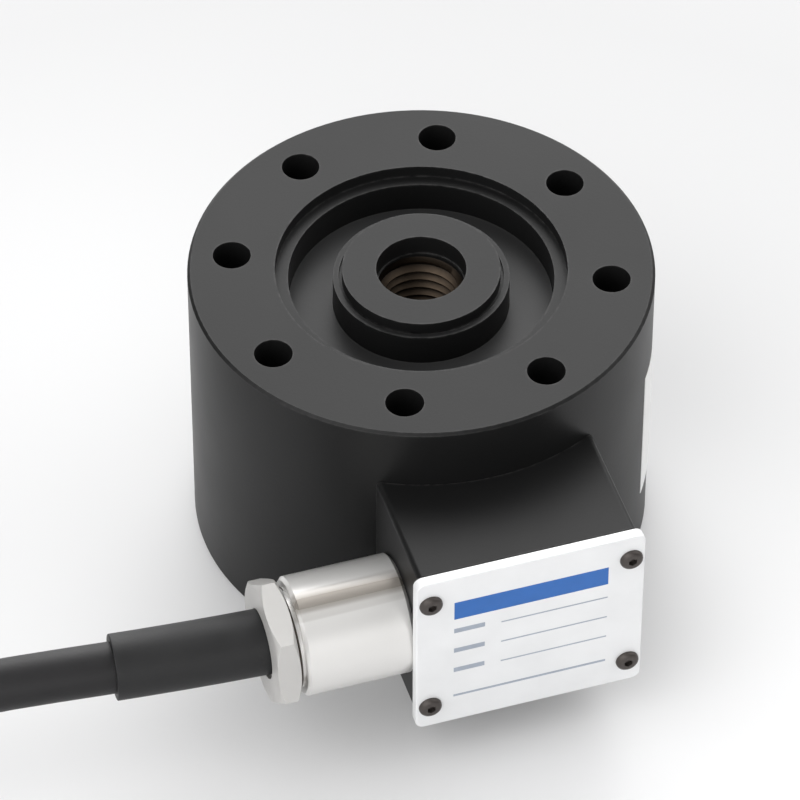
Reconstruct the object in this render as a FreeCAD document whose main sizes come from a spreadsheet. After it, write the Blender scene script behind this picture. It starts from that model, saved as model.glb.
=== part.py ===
"""Low-profile ring load cell with a junction box, a cable gland and a coiled cable.

Millimetres, +Z up. The origin is the centre of the ring's base face.
The box faces -Y and the cable leaves along -X.
"""
import FreeCAD, Part
import math
import os
import re
import Sketcher
from FreeCAD import Placement, Rotation, Vector

SIZES = [
    # Elastic body: ring, hub and spokes
    ("ring_dia", 86.0),
    ("ring_height", 60.0),
    ("rim_bevel", 0.5),
    ("bolt_circle", 70.0),
    ("bolt_hole", 7.0),
    ("bolt_count", 8),
    ("recess_dia", 53.8),
    ("recess_depth", 2.4),
    ("seal_bore", 49.0),
    ("seal_land", 1.5),
    ("floor_depth", 8.5),
    ("hub_dia", 32.6),
    ("hub_lip", 1.1),
    ("hub_drop", 0.3),
    ("hub_step", 1.9),
    ("hub_groove_width", 0.6),
    ("hub_groove_depth", 0.5),
    ("thread_dia", 16.0),
    ("mouth_dia", 16.6),
    ("mouth_depth", 4.0),
    ("web_thick", 24.0),
    ("spoke_width", 9.0),
    ("passage_dia", 5.0),
    # Seals and gauges
    ("seal_thick", 1.5),
    ("base_recess", 2.0),
    ("base_thick", 1.5),
    ("hub_lift", 1.0),
    ("gauge_length", 4.6),
    ("gauge_height", 8.0),
    ("gauge_thick", 0.3),
    ("loom_dia", 2.4),
    # Junction box
    ("box_width", 41.0),
    ("box_height", 37.2),
    ("box_mid", 28.65),
    ("box_depth", 19.6),
    ("box_wall", 3.2),
    ("side_wall", 3.6),
    ("gland_wall", 5.0),
    ("back_wall", 2.5),
    ("box_corner", 1.0),
    ("box_screw_dia", 3.0),
    ("box_screw_pitch", 18.0),
    ("box_screw_bite", 7.0),
    ("box_screw_head_dia", 5.5),
    ("box_screw_head", 3.0),
    ("gasket_thick", 0.5),
    ("plate_side", 1.0),
    ("plate_edge", 0.325),
    ("plate_thick", 2.0),
    ("plate_corner", 1.6),
    ("cover_screw_dia", 2.0),
    ("cover_screw_side", 1.675),
    ("cover_screw_edge", 5.075),
    ("cover_screw_bite", 7.0),
    ("cover_head_dia", 4.3),
    ("cover_head", 1.0),
    ("cover_rim", 0.3),
    ("cover_shoulder", 0.75),
    ("cover_shoulder_dia", 3.7),
    ("cover_crown_dia", 2.8),
    ("cover_socket", 1.5),
    ("cover_socket_depth", 0.8),
    # Board in the box
    ("board_width", 25.0),
    ("board_height", 24.0),
    ("board_thick", 1.6),
    ("board_shift", 1.5),
    ("board_inset", 2.5),
    ("spacer_dia", 4.5),
    ("spacer_length", 3.6),
    ("board_screw_dia", 2.0),
    ("board_head_dia", 3.8),
    ("board_head", 1.6),
    ("block_width", 6.0),
    ("block_depth", 6.4),
    ("block_rise", 0.7),
    ("core_pitch", 2.7),
    ("core_dia", 1.8),
    ("core_gap", 0.3),
    ("core_run", 3.4),
    ("resistor_width", 2.0),
    ("resistor_height", 4.0),
    ("resistor_depth", 1.2),
    ("resistor_pitch", 3.2),
    ("resistor_count", 4),
    # Cable gland
    ("gland_stand", 8.7),
    ("gland_drop", 1.7),
    ("gland_dia", 22.1),
    ("gland_length", 20.3),
    ("gland_bevel", 0.6),
    ("port_dia", 16.0),
    ("ring_seat_dia", 18.5),
    ("ring_section", 1.3),
    ("chamber_dia", 15.0),
    ("chamber_depth", 12.4),
    ("sleeve_seat", 9.1),
    ("neck_dia", 18.5),
    ("nut_gap", 1.3),
    ("nut_thick", 4.3),
    ("nut_flats", 21.8),
    ("nut_lip", 0.9),
    ("nut_bevel", 1.1),
    ("nut_mouth_gap", 0.45),
    ("nut_turn", 12.5),
    ("washer_thick", 1.0),
    # Cable, coil and bare end
    ("cable_dia", 9.5),
    ("sleeve_dia", 12.2),
    ("sleeve_length", 44.1),
    ("coil_columns", 3),
    ("coil_layers", 2),
    ("coil_mean_dia", 114.0),
    ("coil_bevel", 2.5),
    ("tie_thick", 1.0),
    ("tie_width", 9.0),
    ("end_sleeve_angle", 24.0),
    ("lead_dia", 1.7),
    ("lead_gap_angle", 0.2),
    ("lead_angle", 44.0),
    ("tip_dia", 1.1),
    ("tip_length", 7.0),
    ("slot_spare", 12.0),
    # Clearances
    ("slip", 0.05),
    ("free_gap", 0.15),
]

# Route of the cable after its seat in the gland: how far it is from the box, how far it has turned back
# from the line of the gland, and whether it is at the height of the gland or of the first turns of the coil.
CABLE_ROUTE = [
    (30.0, 0.0, "gland"),
    (97.5, 7.1, "gland"),
    (137.5, 11.3, "coil"),
    (169.5, 14.65, "coil"),
]
BEND_SHARE = 0.45

# Angles round the coil, from the +X direction, where its ties sit and where the jacket of the cable ends.
TIE_ANGLES = (50.0, 165.0)
TAIL_START = -27.0

# Each opening in the web lies between two spokes that are square to each other.
SPOKES = 4
CORES = ("black", "white", "green", "red")

# Size of an outline before its constraints are solved, and how far two equal lengths may differ.
ROUGH_SIZE = 50.0
TOLERANCE = 0.001

# By what share the volume of a swept bar may differ from its section times the length of its path.
BAR_TOLERANCE = 0.01

# How a swept bar goes round a corner of its path that has no arc.
SQUARE_CORNERS = 1

# Heights and radii that several pieces share, as expressions of the sizes above.
HUB_R = "hub_dia / 2"
RING_R = "ring_dia / 2"
BORE_R = "seal_bore / 2"
CAVITY_R = "(seal_bore / 2 - seal_land)"
WEB_LOW = "(ring_height - web_thick) / 2"
WEB_HIGH = "(ring_height + web_thick) / 2"
SEAL_SEAT = "(ring_height - floor_depth - seal_thick)"
BASE_SEAT = "(base_recess + base_thick)"
HUB_TOP = "(ring_height - hub_drop)"
BACK_Y = "(ring_dia / 2 + back_wall)"
BOARD_BACK = "(ring_dia / 2 + back_wall + spacer_length)"
BOARD_FRONT = "(ring_dia / 2 + back_wall + spacer_length + board_thick)"
BOX_FRONT = "(ring_dia / 2 + box_depth)"
PLATE_BACK = "(ring_dia / 2 + box_depth + gasket_thick)"
GLAND_AXIS = "(ring_dia / 2 + gland_stand)"
GLAND_LEVEL = "(box_mid - gland_drop)"
NUT_START = "(gland_length + nut_gap)"
NUT_FACE = "(gland_length + nut_gap + nut_thick - nut_lip)"
COIL_IN = "(coil_mean_dia / 2 - coil_columns * cable_dia / 2)"
COIL_OUT = "(coil_mean_dia / 2 + coil_columns * cable_dia / 2)"
COIL_HIGH = "(tie_thick + coil_layers * cable_dia)"
OUTER_TURN = "(coil_mean_dia / 2 + (coil_columns - 1) * cable_dia / 2)"

doc = FreeCAD.newDocument("LoadCell")
sheet = doc.addObject("Spreadsheet::Sheet", "Sizes")
NAMES = {name for name, number in SIZES}
nodes = []


def fill_sheet():
    """Write each driving size into the sheet, with its name as the alias of its cell."""
    for row, (name, number) in enumerate(SIZES, start=1):
        sheet.set(f"A{row}", name)
        sheet.set(f"B{row}", str(number))
        sheet.setAlias(f"B{row}", name)
    doc.recompute()


def linked(text):
    """Turn an expression of size names into one that reads them from the sheet."""
    return re.sub(r"[a-z][a-z_]*", lambda word: f"Sizes.{word[0]}" if word[0] in NAMES else word[0], text)


def bind(item, prop, text):
    """Tie a property of a document object to an expression of the sizes."""
    item.setExpression(prop, linked(text))


def size(name):
    """The number that the sheet holds for a size."""
    return float(sheet.get(name))


def keep(item, label):
    """Name an object as a sub-part that is written out."""
    item.Label = label
    nodes.append(item)
    return item


def new_body(label):
    """Start a sub-part that is built from features."""
    return keep(doc.addObject("PartDesign::Body", label), label)


def origin_feature(body, role):
    """The origin plane or axis of a body that has this role."""
    return next(item for item in body.Origin.OriginFeatures if item.Role == role)


def new_sketch(body, role, lift="0", turn="0"):
    """Start a sketch on an origin plane of the body, moved along its normal and turned in its plane."""
    sketch = body.newObject("Sketcher::SketchObject", "Sketch")
    sketch.AttachmentSupport = [(origin_feature(body, role), "")]
    sketch.MapMode = "FlatFace"
    sketch.AttachmentOffset = Placement(Vector(), Rotation(Vector(0, 0, 1), 0))
    bind(sketch, "AttachmentOffset.Base.z", lift)
    bind(sketch, "AttachmentOffset.Rotation.Angle", turn)
    return sketch


def place_point(sketch, curve, end, x, y):
    """Fix a point of a sketch by two expressions, on the axes where they are zero."""
    for kind, text, axis in (("DistanceX", x, -2), ("DistanceY", y, -1)):
        if text == "0":
            sketch.addConstraint(Sketcher.Constraint("PointOnObject", curve, end, axis))
        else:
            index = sketch.addConstraint(Sketcher.Constraint(kind, -1, 1, curve, end, 1.0))
            bind(sketch, f"Constraints[{index}]", text)


def outline(sketch, corners):
    """Draw a closed outline of straight lines whose corners are pairs of expressions."""
    count = len(corners)
    angles = [math.tau * index / count for index in range(count + 1)]
    points = [Vector(math.cos(angle), math.sin(angle), 0) * ROUGH_SIZE for angle in angles]
    lines = [sketch.addGeometry(Part.LineSegment(*pair)) for pair in zip(points, points[1:])]
    for index, line in enumerate(lines):
        following = lines[(index + 1) % count]
        sketch.addConstraint(Sketcher.Constraint("Coincident", line, 2, following, 1))
    for line, (x, y) in zip(lines, corners):
        place_point(sketch, line, 1, x, y)


def rectangle(sketch, x_low, x_high, y_low, y_high):
    """Draw a closed rectangle between four expressions."""
    outline(sketch, [(x_low, y_low), (x_high, y_low), (x_high, y_high), (x_low, y_high)])


def disc(sketch, x, y, diameter):
    """Draw a circle with its centre and diameter given by expressions."""
    curve = sketch.addGeometry(Part.Circle(Vector(0, 0, 0), Vector(0, 0, 1), 1.0))
    place_point(sketch, curve, 3, x, y)
    index = sketch.addConstraint(Sketcher.Constraint("Diameter", curve, 2.0))
    bind(sketch, f"Constraints[{index}]", diameter)


def extrude(kind, body, sketch, length, reverse=False):
    """Add a Pad or a Pocket of the sketch to the body."""
    feature = body.newObject(f"PartDesign::{kind}", kind)
    feature.Profile = sketch
    feature.Reversed = reverse
    bind(feature, "Length", length)
    body.Tip = feature
    doc.recompute()
    return feature


def turn(kind, body, sketch, axis, angle="360", reverse=False):
    """Add a Revolution or a Groove of the sketch about one of its axes."""
    feature = body.newObject(f"PartDesign::{kind}", kind)
    feature.Profile = sketch
    feature.ReferenceAxis = (sketch, [axis])
    feature.Reversed = reverse
    bind(feature, "Angle", angle)
    body.Tip = feature
    doc.recompute()
    return feature


def repeat_round(body, feature, count):
    """Repeat a feature round the Z axis of its body."""
    pattern = body.newObject("PartDesign::PolarPattern", "PolarPattern")
    pattern.Originals = [feature]
    pattern.Axis = (origin_feature(body, "Z_Axis"), [""])
    pattern.Angle = 360
    bind(pattern, "Occurrences", count)
    body.Tip = pattern
    doc.recompute()


def dress(kind, body, prop, amount, wanted):
    """Fillet or chamfer the edges of the body's last feature that are wanted."""
    base = body.Tip
    names = [f"Edge{index}" for index, edge in enumerate(base.Shape.Edges, start=1) if wanted(edge)]
    feature = body.newObject(f"PartDesign::{kind}", kind)
    feature.Base = (base, names)
    bind(feature, prop, amount)
    body.Tip = feature
    doc.recompute()


def runs_along(axis):
    """A test for straight edges that are parallel to an axis."""
    def wanted(edge):
        if edge.Curve.TypeId != "Part::GeomLine":
            return False
        return abs(edge.Curve.Direction.dot(axis)) > 1 - TOLERANCE
    return wanted


def is_circle(radius):
    """A test for round edges of this radius."""
    def wanted(edge):
        return edge.Curve.TypeId == "Part::GeomCircle" and abs(edge.Curve.Radius - radius) < TOLERANCE
    return wanted


def put(item, x="0", y="0", z="0", rotation=None):
    """Place an object by three expressions."""
    item.Placement = Placement(Vector(), rotation or Rotation())
    for axis, text in zip("xyz", (x, y, z)):
        bind(item, f"Placement.Base.{axis}", text)
    return item


def group(label, source, places, rotation=None):
    """Gather one copy of a source at each place into a node of separate solids."""
    links = []
    for x, y, z in places:
        link = doc.addObject("App::Link", f"{label}_copy")
        link.LinkedObject = source
        links.append(put(link, x, y, z, rotation))
    return gather(label, links)


def source_body(name):
    """Start a body that is only copied from, and isn't written out itself."""
    return doc.addObject("PartDesign::Body", name)


def solid_box(name, length, width, height):
    """A block whose three sizes are expressions."""
    block = doc.addObject("Part::Box", name)
    for prop, text in (("Length", length), ("Width", width), ("Height", height)):
        bind(block, prop, text)
    return block


def gather(label, items):
    """Join separate pieces into one node."""
    compound = doc.addObject("Part::Compound", label)
    compound.Links = items
    return keep(compound, label)


def make_elastic_body():
    """Ring, hub and spokes, turned and milled from one piece."""
    body = new_body("elastic_body")
    sketch = new_sketch(body, "XZ_Plane")
    hub_base = f"{BASE_SEAT} + hub_lift"
    recess_floor = "ring_height - recess_depth"
    shoulder = f"{HUB_TOP} - hub_step"
    groove_out, groove_floor = f"{HUB_R} - hub_lip", f"{shoulder} - hub_groove_depth"
    land = f"{groove_out} - hub_groove_width"
    mouth_floor = f"{HUB_TOP} - mouth_depth"
    outline(sketch, [
        ("thread_dia / 2", hub_base),
        (HUB_R, hub_base),
        (HUB_R, WEB_LOW),
        (CAVITY_R, WEB_LOW),
        (CAVITY_R, BASE_SEAT),
        (BORE_R, BASE_SEAT),
        (BORE_R, "0"),
        (RING_R, "0"),
        (RING_R, "ring_height"),
        ("recess_dia / 2", "ring_height"),
        ("recess_dia / 2", recess_floor),
        (BORE_R, recess_floor),
        (BORE_R, SEAL_SEAT),
        (CAVITY_R, SEAL_SEAT),
        (CAVITY_R, WEB_HIGH),
        (HUB_R, WEB_HIGH),
        (HUB_R, shoulder),
        (groove_out, shoulder),
        (groove_out, groove_floor),
        (land, groove_floor),
        (land, HUB_TOP),
        ("mouth_dia / 2", HUB_TOP),
        ("mouth_dia / 2", mouth_floor),
        ("thread_dia / 2", mouth_floor),
    ])
    turn("Revolution", body, sketch, "V_Axis")
    dress("Chamfer", body, "Size", "rim_bevel", is_circle(size("ring_dia") / 2))
    window = extrude("Pocket", body, window_sketch(body), "ring_height", reverse=True)
    repeat_round(body, window, str(SPOKES))
    holes = new_sketch(body, "XY_Plane", turn="180 / bolt_count")
    disc(holes, "bolt_circle / 2", "0", "bolt_hole")
    hole = extrude("Pocket", body, holes, "ring_height", reverse=True)
    repeat_round(body, hole, "bolt_count")
    passage = new_sketch(body, "XZ_Plane", lift=HUB_R)
    disc(passage, "0", "box_mid", "passage_dia")
    extrude("Pocket", body, passage, RING_R, reverse=True)
    taps = new_sketch(body, "XZ_Plane", lift=f"{RING_R} - box_screw_bite")
    for side in ("+", "-"):
        disc(taps, "0", f"box_mid {side} box_screw_pitch / 2", "box_screw_dia + 2 * slip")
    extrude("Pocket", body, taps, "box_screw_bite + back_wall", reverse=True)


def window_sketch(body):
    """One opening between two spokes: two arcs about the axis and the flanks of the spokes."""
    sketch = new_sketch(body, "XY_Plane", turn=str(180 / SPOKES))
    inner_r = size("hub_dia") / 2
    outer_r = size("seal_bore") / 2 - size("seal_land")
    half = size("spoke_width") / 2
    arcs = []
    for radius in (inner_r, outer_r):
        flank_turn = math.asin(half / radius)
        circle = Part.Circle(Vector(0, 0, 0), Vector(0, 0, 1), radius)
        arcs.append(sketch.addGeometry(Part.ArcOfCircle(circle, flank_turn, math.pi / 2 - flank_turn)))
    inner, outer = arcs
    ends = [sketch.getPoint(curve, end) for end in (1, 2) for curve in (inner, outer)]
    flank_low = sketch.addGeometry(Part.LineSegment(ends[0], ends[1]))
    flank_high = sketch.addGeometry(Part.LineSegment(ends[2], ends[3]))
    for flank, end in ((flank_low, 1), (flank_high, 2)):
        sketch.addConstraint(Sketcher.Constraint("Coincident", flank, 1, inner, end))
        sketch.addConstraint(Sketcher.Constraint("Coincident", flank, 2, outer, end))
    for curve, radius in ((inner, HUB_R), (outer, CAVITY_R)):
        sketch.addConstraint(Sketcher.Constraint("Coincident", curve, 3, -1, 1))
        index = sketch.addConstraint(Sketcher.Constraint("Radius", curve, 1.0))
        bind(sketch, f"Constraints[{index}]", radius)
    sketch.addConstraint(Sketcher.Constraint("Horizontal", flank_low))
    sketch.addConstraint(Sketcher.Constraint("Vertical", flank_high))
    low = sketch.addConstraint(Sketcher.Constraint("DistanceY", -1, 1, flank_low, 1, half))
    high = sketch.addConstraint(Sketcher.Constraint("DistanceX", -1, 1, flank_high, 1, half))
    for index in (low, high):
        bind(sketch, f"Constraints[{index}]", "spoke_width / 2")
    return sketch


def make_seals():
    """The ring that closes the top recess and the disc that closes the underside."""
    seal = new_body("upper_seal_ring")
    sketch = new_sketch(seal, "XZ_Plane")
    rectangle(sketch, f"{HUB_R} + slip", f"{BORE_R} - slip", SEAL_SEAT, f"{SEAL_SEAT} + seal_thick")
    turn("Revolution", seal, sketch, "V_Axis")
    cover = new_body("base_cover")
    sketch = new_sketch(cover, "XY_Plane", lift="base_recess")
    disc(sketch, "0", "0", "seal_bore - 2 * slip")
    extrude("Pad", cover, sketch, "base_thick")


def make_gauges():
    """Two gauges on each spoke, one on either flank, and the loom that leads to the box."""
    patches = []
    radius = (size("hub_dia") / 2 + size("seal_bore") / 2 - size("seal_land")) / 2
    lift = (size("ring_height") - size("gauge_height")) / 2
    for index in range(SPOKES):
        spin = Rotation(Vector(0, 0, 1), (index + 0.5) * 360 / SPOKES)
        for flank in (1, -1):
            patch = solid_box("gauge", "gauge_length", "gauge_thick", "gauge_height")
            offset = flank * (size("spoke_width") + size("gauge_thick")) / 2 - size("gauge_thick") / 2
            corner = Vector(radius - size("gauge_length") / 2, offset, lift)
            patch.Placement = Placement(Vector(), spin).multiply(Placement(corner, Rotation()))
            patches.append(patch)
    gather("strain_gauges", patches)
    loom = keep(doc.addObject("Part::Cylinder", "bridge_wires"), "bridge_wires")
    bind(loom, "Radius", "loom_dia / 2")
    bind(loom, "Height", f"{BOARD_BACK} - {CAVITY_R}")
    put(loom, "0", f"-{CAVITY_R}", "box_mid", Rotation(Vector(1, 0, 0), 90))


def make_junction_box():
    """Block with a back that fits the ring, a cavity open at the front and a port for the gland."""
    body = new_body("junction_box")
    front = new_sketch(body, "XZ_Plane", lift=BOX_FRONT)
    low, high = "box_mid - box_height / 2", "box_mid + box_height / 2"
    rectangle(front, "-box_width / 2", "box_width / 2", low, high)
    extrude("Pad", body, front, BOX_FRONT, reverse=True)
    dress("Fillet", body, "Radius", "box_corner", runs_along(Vector(0, 1, 0)))
    saddle = new_sketch(body, "XY_Plane")
    disc(saddle, "0", "0", "ring_dia + 2 * slip")
    extrude("Pocket", body, saddle, "box_mid + box_height", reverse=True)
    cavity = new_sketch(body, "XZ_Plane", lift=BOX_FRONT)
    left, right = "gland_wall - box_width / 2", "box_width / 2 - side_wall"
    rectangle(cavity, left, right, f"{low} + box_wall", f"{high} - box_wall")
    extrude("Pocket", body, cavity, f"{BOX_FRONT} - {BACK_Y}")
    port = new_sketch(body, "YZ_Plane", lift="-box_width / 2")
    disc(port, f"-{GLAND_AXIS}", GLAND_LEVEL, "port_dia + 2 * slip")
    extrude("Pocket", body, port, "gland_wall", reverse=True)
    taps = new_sketch(body, "XZ_Plane", lift=BOX_FRONT)
    for x, z in cover_screw_places():
        disc(taps, x, z, "cover_screw_dia + 2 * slip")
    extrude("Pocket", body, taps, "cover_screw_bite")
    rear = new_sketch(body, "XZ_Plane", lift=BACK_Y)
    disc(rear, "0", "box_mid", "passage_dia")
    for side in ("+", "-"):
        disc(rear, "0", f"box_mid {side} box_screw_pitch / 2", "box_screw_dia + 2 * free_gap")
    extrude("Pocket", body, rear, "back_wall")


def cover_screw_places():
    """Centres of the four cover screws, across and up."""
    return [
        (f"{across}(box_width / 2 - cover_screw_side)", f"box_mid {up} (box_height / 2 - cover_screw_edge)")
        for across in ("", "-")
        for up in ("+", "-")
    ]


def make_box_screws():
    """Two screws from inside the box into the ring."""
    screw = source_body("box_screw")
    sketch = new_sketch(screw, "XZ_Plane")
    outline(sketch, [
        ("0", "-(box_screw_bite + back_wall)"),
        ("box_screw_dia / 2", "-(box_screw_bite + back_wall)"),
        ("box_screw_dia / 2", "0"),
        ("box_screw_head_dia / 2", "0"),
        ("box_screw_head_dia / 2", "box_screw_head"),
        ("0", "box_screw_head"),
    ])
    turn("Revolution", screw, sketch, "V_Axis")
    places = [("0", f"-{BACK_Y}", f"box_mid {side} box_screw_pitch / 2") for side in ("+", "-")]
    group("box_screws", screw, places, Rotation(Vector(1, 0, 0), 90))


def make_cover():
    """Gasket, plate and screws on the front of the box."""
    low, high = "box_mid - box_height / 2", "box_mid + box_height / 2"
    gasket = new_body("cover_gasket")
    sketch = new_sketch(gasket, "XZ_Plane", lift=BOX_FRONT)
    half = "box_width / 2 - free_gap"
    rectangle(sketch, f"-({half})", half, f"{low} + free_gap", f"{high} - free_gap")
    extrude("Pad", gasket, sketch, "gasket_thick")
    dress("Fillet", gasket, "Radius", "box_corner", runs_along(Vector(0, 1, 0)))
    opening = new_sketch(gasket, "XZ_Plane", lift=PLATE_BACK)
    left, right = "gland_wall - box_width / 2", "box_width / 2 - side_wall"
    rectangle(opening, left, right, f"{low} + box_wall", f"{high} - box_wall")
    for x, z in cover_screw_places():
        disc(opening, x, z, "cover_screw_dia + 2 * free_gap")
    extrude("Pocket", gasket, opening, "gasket_thick")
    plate = new_body("cover_plate")
    sketch = new_sketch(plate, "XZ_Plane", lift=PLATE_BACK)
    half = "(box_width / 2 + plate_side)"
    rectangle(sketch, f"-{half}", half, f"{low} - plate_edge", f"{high} + plate_edge")
    extrude("Pad", plate, sketch, "plate_thick")
    dress("Fillet", plate, "Radius", "plate_corner", runs_along(Vector(0, 1, 0)))
    holes = new_sketch(plate, "XZ_Plane", lift=f"{PLATE_BACK} + plate_thick")
    for x, z in cover_screw_places():
        disc(holes, x, z, "cover_screw_dia + 2 * free_gap")
    extrude("Pocket", plate, holes, "plate_thick")
    make_cover_screws()


def make_cover_screws():
    """Four button heads with a stepped crown and a hexagon socket."""
    screw = source_body("cover_screw")
    sketch = new_sketch(screw, "XZ_Plane")
    reach = "-(cover_screw_bite + gasket_thick + plate_thick)"
    outline(sketch, [
        ("0", reach),
        ("cover_screw_dia / 2", reach),
        ("cover_screw_dia / 2", "0"),
        ("cover_head_dia / 2", "0"),
        ("cover_head_dia / 2", "cover_rim"),
        ("cover_shoulder_dia / 2", "cover_shoulder"),
        ("cover_crown_dia / 2", "cover_head"),
        ("0", "cover_head"),
    ])
    turn("Revolution", screw, sketch, "V_Axis")
    socket = new_sketch(screw, "XY_Plane", lift="cover_head")
    hexagon(socket, "cover_socket")
    extrude("Pocket", screw, socket, "cover_socket_depth")
    places = [(x, f"-({PLATE_BACK} + plate_thick)", z) for x, z in cover_screw_places()]
    group("cover_screws", screw, places, Rotation(Vector(1, 0, 0), 90))


def hexagon(sketch, flats):
    """Draw a hexagon about the sketch's origin, with two flats square to its x axis."""
    half, corner, side = f"{flats} / 2", f"{flats} / sqrt(3)", f"{flats} / sqrt(12)"
    outline(sketch, [
        (half, f"-{side}"),
        (half, side),
        ("0", corner),
        (f"-{half}", side),
        (f"-{half}", f"-{side}"),
        ("0", f"-{corner}"),
    ])


def make_board():
    """Board on four spacers, with its terminal block and trim resistors."""
    board = new_body("terminal_board")
    sketch = new_sketch(board, "XZ_Plane", lift=BOARD_BACK)
    half = "board_height / 2"
    left, right = "board_shift - board_width / 2", "board_shift + board_width / 2"
    rectangle(sketch, left, right, f"box_mid - {half}", f"box_mid + {half}")
    extrude("Pad", board, sketch, "board_thick")
    holes = new_sketch(board, "XZ_Plane", lift=BOARD_FRONT)
    spots = [
        (f"{x} {inward} board_inset", f"box_mid {up} (board_height / 2 - board_inset)")
        for x, inward in ((left, "+"), (right, "-"))
        for up in ("+", "-")
    ]
    for x, z in spots:
        disc(holes, x, z, "board_screw_dia + 2 * slip")
    extrude("Pocket", board, holes, "board_thick")
    upright = Rotation(Vector(1, 0, 0), 90)
    spacer = source_body("board_spacer")
    sketch = new_sketch(spacer, "XY_Plane")
    disc(sketch, "0", "0", "spacer_dia")
    disc(sketch, "0", "0", "board_screw_dia + 2 * slip")
    extrude("Pad", spacer, sketch, "spacer_length")
    group("board_spacers", spacer, [(x, f"-{BACK_Y}", z) for x, z in spots], upright)
    screw = source_body("board_screw")
    sketch = new_sketch(screw, "XZ_Plane")
    reach = "-(board_thick + spacer_length)"
    outline(sketch, [
        ("0", reach),
        ("board_screw_dia / 2", reach),
        ("board_screw_dia / 2", "0"),
        ("board_head_dia / 2", "0"),
        ("board_head_dia / 2", "board_head"),
        ("0", "board_head"),
    ])
    turn("Revolution", screw, sketch, "V_Axis")
    group("board_screws", screw, [(x, f"-{BOARD_FRONT}", z) for x, z in spots], upright)
    make_board_parts(left)


def make_board_parts(left):
    """Terminal block beside the cable and a row of trim resistors."""
    block_height = f"{len(CORES)} * core_pitch"
    block = keep(solid_box("terminal_block", "block_width", "block_depth", block_height), "terminal_block")
    block_base = f"{GLAND_LEVEL} + block_rise - {block_height} / 2"
    put(block, left, f"-({BOARD_FRONT} + block_depth)", block_base)
    row = []
    for index in range(int(size("resistor_count"))):
        resistor = solid_box("resistor", "resistor_width", "resistor_depth", "resistor_height")
        x = f"{left} + block_width + {index + 0.5} * resistor_pitch"
        row.append(put(resistor, x, f"-({BOARD_FRONT} + resistor_depth)", "box_mid - resistor_height / 2"))
    gather("trim_resistors", row)


def gland_body(label):
    """Start a turned piece of the gland: its x axis runs out of the box along the cable."""
    body = new_body(label)
    return put(body, "-box_width / 2", f"-{GLAND_AXIS}", GLAND_LEVEL, Rotation(Vector(0, 0, 1), 180))


def gland_ring(label, start, end, inner, outer):
    """A plain turned ring of the gland between two stations and two radii."""
    body = gland_body(label)
    sketch = new_sketch(body, "XZ_Plane")
    rectangle(sketch, start, end, inner, outer)
    turn("Revolution", body, sketch, "H_Axis")


def make_gland():
    """Round body with a spigot in the box and a threaded neck, its nut and its seals."""
    body = gland_body("gland_body")
    sketch = new_sketch(body, "XZ_Plane")
    cable_bore = "cable_dia / 2 + free_gap"
    sleeve_bore = "sleeve_dia / 2 + free_gap"
    neck_end = f"{NUT_FACE} - free_gap"
    seat_in = "(ring_seat_dia - ring_section) / 2 - free_gap"
    seat_out = "(ring_seat_dia + ring_section) / 2 + free_gap"
    outline(sketch, [
        ("-gland_wall", cable_bore),
        ("sleeve_seat", cable_bore),
        ("sleeve_seat", sleeve_bore),
        ("chamber_depth", sleeve_bore),
        ("chamber_depth", "chamber_dia / 2"),
        (neck_end, "chamber_dia / 2"),
        (neck_end, "neck_dia / 2"),
        ("gland_length", "neck_dia / 2"),
        ("gland_length", "gland_dia / 2 - gland_bevel"),
        ("gland_length - gland_bevel", "gland_dia / 2"),
        ("gland_bevel", "gland_dia / 2"),
        ("0", "gland_dia / 2 - gland_bevel"),
        ("0", seat_out),
        ("ring_section", seat_out),
        ("ring_section", seat_in),
        ("0", seat_in),
        ("0", "port_dia / 2"),
        ("-gland_wall", "port_dia / 2"),
    ])
    turn("Revolution", body, sketch, "H_Axis")
    gland_ring("gland_seal", "0", "ring_section", f"{seat_in} + free_gap", f"{seat_out} - free_gap")
    washer_start = f"{NUT_FACE} - washer_thick"
    rubber, shell = "sleeve_dia / 2 + slip", "chamber_dia / 2 - slip"
    gland_ring("gland_grommet", "chamber_depth", washer_start, rubber, shell)
    gland_ring("gland_washer", washer_start, NUT_FACE, "sleeve_dia / 2 + free_gap", shell)
    make_nut()


def make_nut():
    """Thin hexagon nut with bevelled corners, threaded on the neck, with a lip over the washer."""
    body = gland_body("gland_nut")
    flats = new_sketch(body, "YZ_Plane", lift=NUT_START, turn="nut_turn")
    hexagon(flats, "nut_flats")
    extrude("Pad", body, flats, "nut_thick")
    bore = new_sketch(body, "XZ_Plane")
    end = f"{NUT_START} + nut_thick"
    outline(bore, [
        (NUT_START, "0"),
        (end, "0"),
        (end, "sleeve_dia / 2 + nut_mouth_gap"),
        (NUT_FACE, "sleeve_dia / 2 + nut_mouth_gap"),
        (NUT_FACE, "neck_dia / 2 + slip"),
        (NUT_START, "neck_dia / 2 + slip"),
    ])
    turn("Groove", body, bore, "H_Axis")
    bevel = new_sketch(body, "XZ_Plane")
    corner = "nut_flats / sqrt(3) + free_gap"
    for face, inward in ((NUT_START, "+"), (end, "-")):
        outline(bevel, [
            (face, "nut_flats / 2"),
            (f"{face} {inward} nut_bevel", corner),
            (face, corner),
        ])
    turn("Groove", body, bevel, "H_Axis")


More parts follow.
